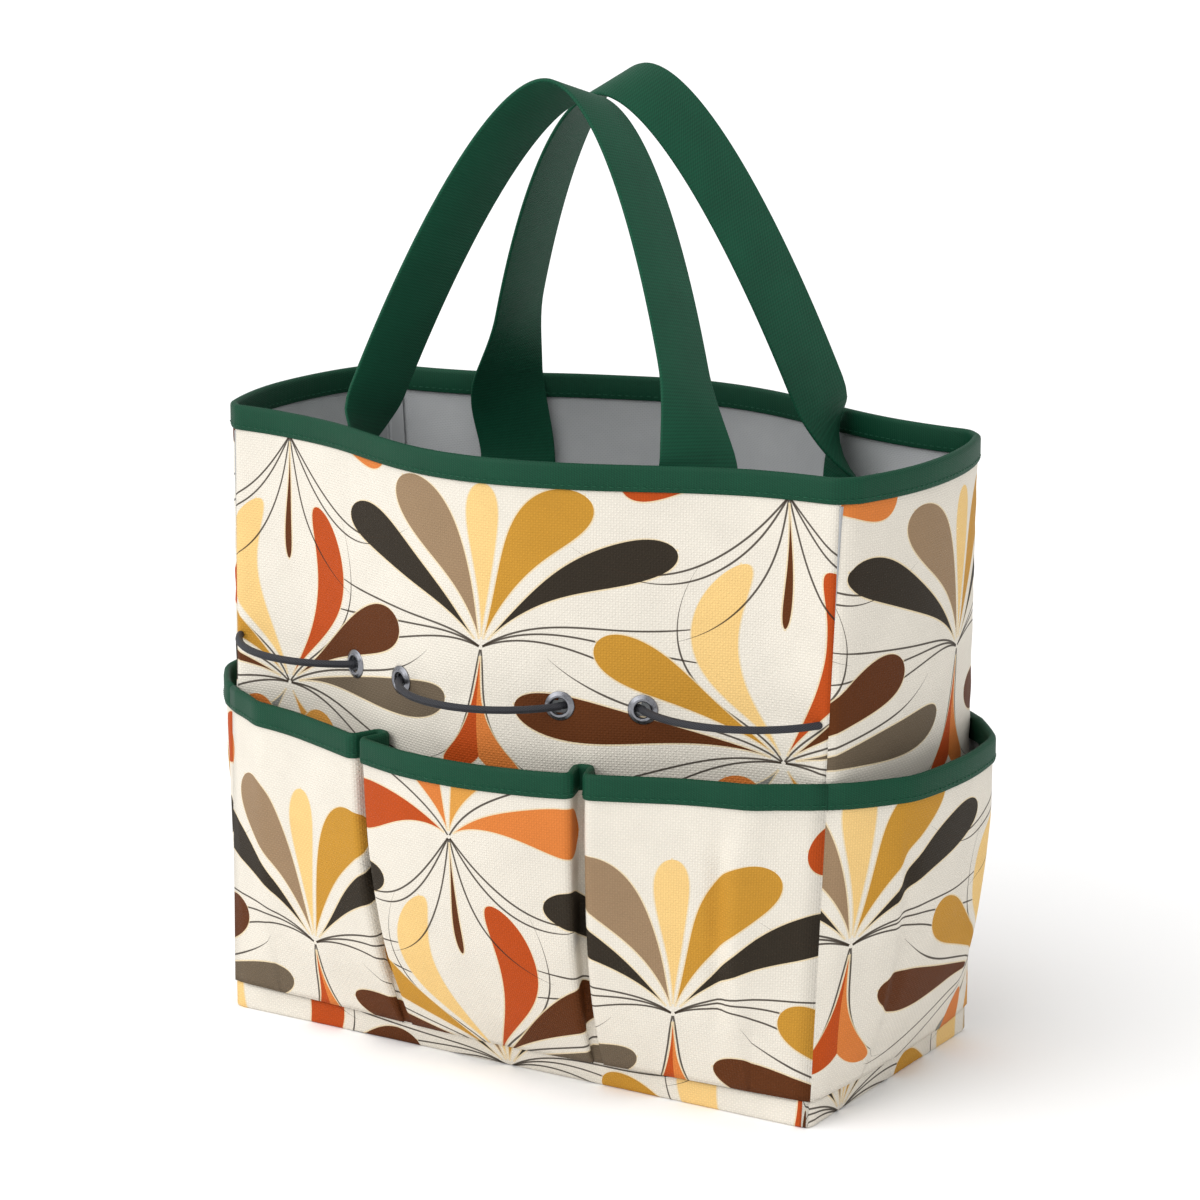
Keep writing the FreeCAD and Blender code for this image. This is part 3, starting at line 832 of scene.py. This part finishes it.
# ---- pockets -----------------------------------------------------------------
def rounded(points, radii):
    """Polyline with arcs at its corners as one list; its length doesn't depend on the radii."""
    result = [points[0]]

    def add_line(target, plain_length):
        start = result[-1]
        steps = max(1, round(plain_length / GRID))
        for i in range(1, steps + 1):
            result.append((mix(start[0], target[0], i / steps), mix(start[1], target[1], i / steps)))

    for before, corner, after, radius in zip(points, points[1:], points[2:], radii):
        come = math.atan2(corner[1] - before[1], corner[0] - before[0])
        leave = math.atan2(after[1] - corner[1], after[0] - corner[0])
        turn = (leave - come + math.pi) % (2 * math.pi) - math.pi
        cut = radius * abs(math.tan(turn / 2))
        first = (corner[0] - cut * math.cos(come), corner[1] - cut * math.sin(come))
        add_line(first, math.dist(before, corner) if before[1] == corner[1] else 4 * GRID)
        handed = 1 if turn > 0 else -1
        centre = (first[0] - handed * radius * math.sin(come),
                  first[1] + handed * radius * math.cos(come))
        for i in range(1, 7):
            angle = come + turn * i / 6
            result.append((centre[0] + handed * radius * math.sin(angle),
                           centre[1] - handed * radius * math.cos(angle)))
    add_line(points[-1], 4 * GRID)
    return result


def fullness(z):
    """Share of a pocket's depth at a height: nearly all, closing at the bottom seam."""
    drop = (POCKET_TOP - z) / (POCKET_TOP - BAND_TOP)
    return 1 - (1 - SEAM_FULLNESS) * min(1.0, max(0.0, drop)) ** 3


def pocket_plan(side, z):
    """Pocket cloth seen from above and unrolled: (path along the wall, stand-off)."""
    span = seam_path(side, POCKET_TOP)
    scale = seam_path(side, z) / span
    shoulder = SHOULDER_LENGTH if is_long(side) else END_SHOULDER_LENGTH
    depth = POCKET_DEPTH * fullness(z)
    bend = min(PLEAT_RADIUS, depth * 0.45)
    points = [(-span, 0), (-span + shoulder, depth)]
    radii = [SHOULDER_RADIUS]
    if is_long(side):
        for pleat in (-span / 3, span / 3):
            points += [(pleat - PLEAT_GAP, depth), (pleat - PLEAT_GAP, 0),
                       (pleat + PLEAT_GAP, 0), (pleat + PLEAT_GAP, depth)]
            radii += [bend] * 4
    points += [(span - shoulder, depth), (span, 0)]
    radii += [SHOULDER_RADIUS]
    return [(along * scale, out) for along, out in rounded(points, radii)]


# Upright folds in the pockets' cloth: (path along the wall, height of the fold, half width)
FOLDS = {"front": ((0.118, -0.0030, 0.0045), (0.126, 0.0026, 0.007), (-0.030, 0.0008, 0.012)),
         "right": ((-0.044, 0.0024, 0.006), (-0.036, -0.0024, 0.005), (0.040, 0.0012, 0.010)),
         "back": ((-0.112, 0.0022, 0.007), (-0.103, -0.0022, 0.005), (0.020, 0.0010, 0.012)),
         "left": ((0.040, 0.0022, 0.006), (0.032, -0.0018, 0.005))}
FOLD_FOOT = 0.022
FOLD_FADE = 0.035


def fold_height(side, along, z):
    """How far the upright folds lift the pocket's cloth at a place."""
    fade = smooth((z - FOLD_FOOT) / FOLD_FADE) * smooth((POCKET_BINDING_FOOT - z) / FOLD_FADE)
    return fade * sum(height * math.exp(-((along - place) / width) ** 2)
                      for place, height, width in FOLDS[side])


def pocket_line(side, z, seed):
    """Mid-line points and outward normals of the pocket cloth at one height."""
    middle = []
    for along, out in pocket_plan(side, z):
        point, normal = wall(side, along, z)
        full = out / POCKET_DEPTH
        wave = ripple(Vector((along, 0, z)), 0.05, seed) * 0.0013 * full * fullness(z)
        wave += ripple(Vector((along, 0, z)), 0.02, seed + 3) * 0.0003 * full
        wave += fold_height(side, along, z) * full
        middle.append(point + normal * (POCKET_SEAM_OFFSET + out + wave))
    line = []
    for i, point in enumerate(middle):
        before = middle[max(0, i - 1)]
        after = middle[min(len(middle) - 1, i + 1)]
        chord = after - before
        line.append((point, Vector((chord.y, -chord.x, 0)).normalized()))
    for end in (0, -1):
        along = pocket_plan(side, z)[end][0]
        line[end] = (line[end][0], wall(side, along, z)[1])
    return line


FAN_ON_POCKETS = {"front": (0.133, 0.048), "right": (-0.066, 0.085), "back": (0.05, 0.060),
                  "left": (0.0, 0.050)}


def pocket_piece(side, seed):
    fan_x, fan_z = FAN_ON_POCKETS[side]
    top_line = pocket_line(side, POCKET_TOP, seed)
    travelled = [0.0]
    for (a, _), (b, _) in zip(top_line, top_line[1:]):
        travelled.append(travelled[-1] + (b - a).length)
    half = travelled[-1] / 2
    rows = []
    uv_rows = []
    for z in spread(BAND_TOP + 0.0004, POCKET_TOP - 0.0024, GRID):
        line = pocket_line(side, z, seed)
        rows.append([point + normal * CANVAS / 2 for point, normal in line])
        uv_rows.append([((length - half - fan_x) / PRINT_UNIT, (z - fan_z) / PRINT_UNIT)
                        for length in travelled])
    return cloth(side + "_pockets", rows, uv_rows, CANVAS_MATERIAL, LINING_MATERIAL, CANVAS,
                 folded=True)


for index, side in enumerate(SIDES):
    seed = 11.3 + index
    keep(pocket_piece(side, seed), "bag", "printed_canvas", side + "_pocket_panel")
    line = pocket_line(side, POCKET_TOP, seed)
    stations = [(Vector((p.x, p.y, 0)), n, Vector((0, 0, 1))) for p, n in line]
    profile = binding_profile(POCKET_BINDING_FOOT, POCKET_TOP, CANVAS / 2 + 0.0001,
                              -CANVAS / 2 - 0.0001)
    tape = sweep(side + "_pocket_tape", stations, profile, [TAPE_MATERIAL])
    keep(tape, "bag", "binding_tape", side + "_pocket_binding")
    lift = Vector((0, 0, POCKET_BINDING_FOOT + STITCH_RISE))
    run = [(c + n * (CANVAS / 2 + TAPE + 0.0001) + lift, n) for c, n, up in stations]
    keep(stitches(side + "_pocket_stitching", [run], THREAD), "bag", "binding_tape")


# ---- eyelets and elastic cord ---------------------------------------------------
def lathe(name, centres, profile, material, count=40):
    """Turned pieces: profile is (radius, height) from the hole outwards and back."""
    vertices = []
    faces = []
    for centre, normal in centres:
        side = Vector((-normal.y, normal.x, 0))
        up = Vector((0, 0, 1))
        first = len(vertices)
        for radius, height in profile:
            for i in range(count):
                angle = 2 * math.pi * i / count
                vertices.append(centre + normal * height
                                + (side * math.cos(angle) + up * math.sin(angle)) * radius)
        rings = len(profile)
        for r in range(rings):
            n = (r + 1) % rings
            for i in range(count):
                j = (i + 1) % count
                faces.append((first + r * count + i, first + n * count + i,
                              first + n * count + j, first + r * count + j))
    return new_object(name, vertices, faces, [material])


def rolled_rim(face, out):
    """Section of a pressed ring: rolled at the hole, dished, and turned down at the edge."""
    return [(EYELET_HOLE, face - 0.0016 * out), (EYELET_HOLE, face + 0.0006 * out),
            (EYELET_HOLE + 0.0003, face + 0.0012 * out), (EYELET_HOLE + 0.0009, face + 0.0015 * out),
            (EYELET_HOLE + 0.0016, face + 0.0012 * out), (EYELET_HOLE + 0.0022, face + 0.0008 * out),
            (EYELET_RADIUS - 0.0006, face + 0.0006 * out), (EYELET_RADIUS - 0.0001, face + 0.0003 * out),
            (EYELET_RADIUS, face), (EYELET_RADIUS - 0.0004, face),
            (EYELET_HOLE + 0.0006, face)]


def tube_piece(name, points, radius):
    """Round cord through points, with rounded ends."""
    ring = 12
    profile = [(radius * math.cos(2 * math.pi * i / ring), radius * math.sin(2 * math.pi * i / ring))
               for i in range(ring)]
    vertices = []
    uvs = []
    travelled = 0.0
    tips = (0.25, 0.7, 0.94)
    chain = []
    first_direction = (points[1] - points[0]).normalized()
    last_direction = (points[-1] - points[-2]).normalized()
    for share in tips:
        back = radius * math.sqrt(1 - share * share)
        chain.append((points[0] - first_direction * back, first_direction, share))
    for i, point in enumerate(points):
        before = points[max(0, i - 1)]
        after = points[min(len(points) - 1, i + 1)]
        chain.append((point, (after - before).normalized(), 1.0))
    for share in reversed(tips):
        ahead = radius * math.sqrt(1 - share * share)
        chain.append((points[-1] + last_direction * ahead, last_direction, share))
    before = chain[0][0]
    for point, direction, share in chain:
        travelled += (point - before).length
        before = point
        up = Vector((0, 0, 1))
        side = direction.cross(up).normalized()
        up = side.cross(direction).normalized()
        for i, (a, b) in enumerate(profile):
            vertices.append(point + (side * a + up * b) * share)
            uvs.append((travelled / PRINT_UNIT, i / ring * 2 * math.pi * radius / PRINT_UNIT))
    rows = len(chain)
    faces = grid_faces(rows, ring, closed=True)
    faces = [tuple(reversed(face)) for face in faces]
    faces.append(tuple(range(ring)))
    faces.append(tuple(reversed(range((rows - 1) * ring, rows * ring))))
    return new_object(name, vertices, faces, [CORD], uvs)


def arc_points(start, end, middle, count=36):
    """Points of the circular arc from start to end through middle."""
    chord = end - start
    half = chord.length / 2
    rise = (middle - (start + end) / 2).length
    radius = (half * half + rise * rise) / (2 * rise)
    out = (middle - (start + end) / 2).normalized()
    along = chord.normalized()
    centre = middle - out * radius
    span = math.asin(min(1.0, half / radius))
    if rise > radius:
        span = math.pi - span
    return [centre + (out * math.cos(a) + along * math.sin(a)) * radius
            for a in spread(-span, span, 2 * span / count)]


CAD_FLANGE = 0.0011            # height of the eyelet's face over the wall, where a loop's end sits


def eyelet_place(side, x):
    return wall(side, x, CORD_HEIGHT)


for side in ("front", "back"):
    places = [eyelet_place(side, x) for x in EYELET_X]
    outer = lathe(side + "_eyelet_rings", places, rolled_rim(0.0001, 1), METAL)
    keep(outer, "bag", "eyelet_metal", side + "_eyelets")
    inner = lathe(side + "_washers", places, rolled_rim(-CANVAS - 0.0001, -1), METAL)
    keep(inner, "bag", "eyelet_metal", side + "_eyelet_washers")
    for place_name in ("left", "centre", "right"):
        node = side + "_loop_" + place_name
        if place_name == "centre":
            ends = [places[1][0] + places[1][1] * CAD_FLANGE, places[2][0] + places[2][1] * CAD_FLANGE]
            bow = CENTRE_LOOP_BOW
        else:
            sign = -1 if place_name == "left" else 1
            eye = places[0] if sign < 0 else places[3]
            corner = sign * (half_span(side, CORD_HEIGHT) - 3 * CORD_RADIUS)
            seam_point = wall(side, corner, CORD_HEIGHT, CORD_RADIUS * 0.6)[0]
            ends = [seam_point, eye[0] + eye[1] * CAD_FLANGE]
            bow = CORNER_LOOP_BOW
        chord = ends[1] - ends[0]
        outward = Vector((chord.y, -chord.x, 0)).normalized()
        if outward.dot(places[1][1]) < 0:
            outward = -outward
        middle = (ends[0] + ends[1]) / 2 + outward * bow
        loop = tube_piece(node + "_cord", arc_points(ends[0], ends[1], middle), CORD_RADIUS)
        keep(loop, node, "elastic_cord", node)
    depth = CANVAS + 0.0016 + CORD_RADIUS
    for letter, sign in (("a", -1), ("b", 1)):
        run = []
        for share in spread(0, 1, 0.05):
            x = sign * mix(EYELET_X[2], EYELET_X[3], share)
            dip = depth * smooth(min(share, 1 - share) / 0.12)
            point, normal = wall(side, x, CORD_HEIGHT)
            run.append(point - normal * dip)
        inner_run = tube_piece(side + "_inner_run_" + letter, run, CORD_RADIUS)
        keep(inner_run, "bag", "elastic_cord", side + "_cord_inner_runs")


# ---- handles -----------------------------------------------------------------
def leg_point(z, sign):
    """Centre of the webbing where it is sewn inside the wall."""
    point, normal = wall("front", sign * TAIL_X, z)
    return point - normal * (CANVAS + TAPE + 0.0013 + STRAP_THICKNESS / 2)


def arch_point(t, sign):
    """Half of the arch as a cubic curve from a leg at the rim, t=0, to the top, t=1."""
    xs = (ARCH_FOOT_X, 0.67 * ARCH_FOOT_X, 0.28 * ARCH_FOOT_X, 0.0)
    ups = (0.0, 0.6, 1.0, 1.0)
    weights = ((1 - t) ** 3, 3 * (1 - t) ** 2 * t, 3 * (1 - t) * t * t, t ** 3)
    x = sum(w * a for w, a in zip(weights, xs))
    up = sum(w * a for w, a in zip(weights, ups))
    return Vector((sign * x, mix(ARCH_FOOT_Y[sign], ARCH_TOP_Y, up), mix(SPLIT_HEIGHT, ARCH_TOP, up)))


def free_leg_point(share, sign):
    """Centre of the webbing between its seam, share 0, and the arch, share 1."""
    lift = SPLIT_HEIGHT - SEAM_TOP
    foot = leg_point(SEAM_TOP, sign)
    top = arch_point(0, sign)
    into_arch = arch_point(0.001, sign) - top
    into_arch *= lift / into_arch.z
    along_wall = foot - leg_point(SEAM_TOP - 0.001, sign)
    along_wall *= lift / along_wall.z
    square, cube = share * share, share ** 3
    return (foot * (2 * cube - 3 * square + 1) + along_wall * (cube - 2 * square + share)
            + top * (3 * square - 2 * cube) + into_arch * (cube - square))


def strap_direction(z, sign):
    """Way across the webbing: along the wall at the seam, and across the arch above the rim."""
    normal = wall("front", sign * TAIL_X, SEAM_TOP)[1]
    start = math.atan2(normal.x, -normal.y) + (math.pi if sign < 0 else 0)
    share = smooth((z - SEAM_TOP) / TURN_LENGTH[sign])
    turn = mix(start, ARCH_TURN, share)
    lean = ARCH_LEAN * share
    return Vector((math.cos(turn) * math.cos(lean), math.sin(turn) * math.cos(lean), -math.sin(lean)))


def leg_line(sign):
    """Centres of one leg's webbing from the foot of its tail to the top of the arch."""
    line = [leg_point(z, sign) for z in spread(TAIL_FOOT, SEAM_TOP - 0.004, 0.004)]
    line += [free_leg_point(share, sign) for share in spread(0, 1, 1 / 14)]
    line += [arch_point(t, sign) for t in spread(0, 1, 1 / 54)[1:]]
    return line


def handle_line():
    """Centre and sign of the leg, all the way from one tail to the other."""
    left = [(point, -1) for point in leg_line(-1)]
    right = [(point, 1) for point in leg_line(1)]
    return left + right[-2::-1]


def handle_piece(name, turned):
    line = handle_line()
    stations = []
    for i, (point, sign) in enumerate(line):
        along = (line[min(len(line) - 1, i + 1)][0] - line[max(0, i - 1)][0]).normalized()
        across = strap_direction(point.z, sign)
        across = (across - along * across.dot(along)).normalized()
        stations.append((point, across, across.cross(along).normalized()))
    if turned:
        spin = Matrix.Rotation(math.pi, 3, "Z")
        stations = [(spin @ a, spin @ b, spin @ c) for a, b, c in stations]
    profile = rounded_bar(STRAP_WIDTH, STRAP_THICKNESS, STRAP_THICKNESS * 0.45)
    return sweep(name, stations, profile, [WEBBING_MATERIAL]), stations


def tail_stitching(name, stations):
    """A sewn box with a cross in it on each tail, on the webbing's face towards the bag's middle."""
    sewn = [s for s in stations if s[0].z < SEAM_TOP - 0.003]
    half = len(sewn) // 2
    runs = []
    for leg in (sewn[:half], sewn[half:]):
        leg = sorted(leg, key=lambda station: station[0].z)[1:-1]
        reach = STRAP_WIDTH / 2 - 0.004
        last = len(leg) - 1

        def spot(share_up, share_across):
            place = min(last, max(0, share_up * last))
            low = int(min(last - 1, place))
            (c, a, t), (d, b, u) = leg[low], leg[low + 1]
            part = place - low
            centre = c.lerp(d, part) + a.lerp(b, part) * (reach * share_across)
            out = t.lerp(u, part).normalized()
            if out.y * centre.y > 0:
                out = -out
            return centre + out * (STRAP_THICKNESS / 2 + 0.0001), out

        corners = ((0, -1), (0, 1), (1, 1), (1, -1), (0, -1), (1, 1), (1, -1), (0, 1))
        for (u0, a0), (u1, a1) in zip(corners, corners[1:]):
            runs.append([spot(mix(u0, u1, i / 12), mix(a0, a1, i / 12)) for i in range(13)])
    return stitches(name, runs, THREAD)


for side, turned in (("front", False), ("back", True)):
    strap, strap_stations = handle_piece(side + "_strap", turned)
    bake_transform(strap)
    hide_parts(side + "_handle", side + "_handle_tails")
    keep(tail_stitching(side + "_tail_stitching", strap_stations), "bag", "handle_webbing")


# ---- floor, light and camera ---------------------------------------------------
def floor():
    size = 40.0
    corners = [(-size, -size, 0), (size, -size, 0), (size, size, 0), (-size, size, 0)]
    piece = new_object("floor", corners, [(0, 1, 2, 3)], [floor_material()])


def area_light(name, place, target, size, power):
    light = bpy.data.lights.new(name, "AREA")
    light.shape = "SQUARE"
    light.size = size
    light.energy = power
    lamp = bpy.data.objects.new(name, light)
    lamp.location = place
    lamp.rotation_euler = (Vector(target) - Vector(place)).to_track_quat("-Z", "Y").to_euler()
    bpy.context.scene.collection.objects.link(lamp)


def sun_light(name, direction, angle, power):
    light = bpy.data.lights.new(name, "SUN")
    light.energy = power
    light.angle = angle
    lamp = bpy.data.objects.new(name, light)
    lamp.rotation_euler = Vector(direction).to_track_quat("-Z", "Y").to_euler()
    bpy.context.scene.collection.objects.link(lamp)


floor()
CENTRE = (0.0, 0.0, 0.2)
area_light("key", (-0.9, -2.0, 1.5), CENTRE, 1.4, 6)
sun_light("soft_sun", (0.45, 0.75, -1.0), math.radians(70), 1.6)

world = bpy.data.worlds.new("studio")
world.use_nodes = True
world.node_tree.nodes["Background"].inputs["Color"].default_value = (1, 1, 1, 1)
world.node_tree.nodes["Background"].inputs["Strength"].default_value = 0.8
bpy.context.scene.world = world
bpy.context.scene.view_settings.view_transform = "Standard"

AZIMUTH = math.radians(31.68)
ELEVATION = math.radians(13.54)
TARGET = Vector((0.0012, 0.0, 0.2108))
DISTANCE = 1.921
camera = bpy.data.cameras.new("camera")
camera.sensor_width = 36.0
camera.lens = 120.5
camera_object = bpy.data.objects.new("camera", camera)
back = Vector((math.sin(AZIMUTH) * math.cos(ELEVATION), -math.cos(AZIMUTH) * math.cos(ELEVATION),
               math.sin(ELEVATION)))
camera_object.location = TARGET + back * DISTANCE
camera_object.rotation_euler = (-back).to_track_quat("-Z", "Y").to_euler()
bpy.context.scene.collection.objects.link(camera_object)
bpy.context.scene.camera = camera_object
